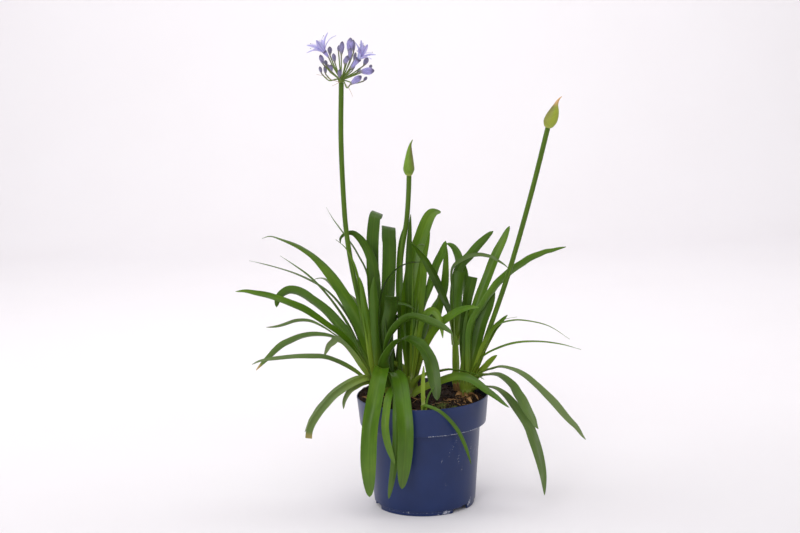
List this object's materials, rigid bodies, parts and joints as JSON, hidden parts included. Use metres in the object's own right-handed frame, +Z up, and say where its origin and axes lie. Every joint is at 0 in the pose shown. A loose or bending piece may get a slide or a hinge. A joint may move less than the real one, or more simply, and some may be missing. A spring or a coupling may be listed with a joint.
{
  "type": "potted agapanthus",
  "caption": "Agapanthus growing in a round plastic nursery pot, with arching strap leaves, an open flower head and closed buds on tall bare stems.",
  "frame": {"origin": "centre of the pot's underside, on the surface that the pot stands on", "axes": "+Z up along the pot's axis, +X to the right and -Y to the front"},
  "size_m": [0.4959, 0.2241, 0.6834],
  "materials": {
    "pot_plastic": "satin",
    "peat": "matte",
    "leaf": "satin",
    "flower_stem": "satin",
    "flower": "matte",
    "bud_sheath": "satin"
  },
  "bodies": {
    "root": {"pot": "pot_plastic", "soil": "peat", "shoot_left": "leaf", "shoot_centre_left": "leaf", "shoot_old": "leaf", "shoot_middle": "leaf", "shoot_back_right": "leaf", "shoot_right": "leaf", "seedling": "leaf", "flower_stem_left": "flower_stem", "flower_stem_middle": "flower_stem", "flower_stem_right": "flower_stem", "flower_head": "flower", "bud_middle": "bud_sheath", "bud_right": "bud_sheath"}
  },
  "joints": []
}
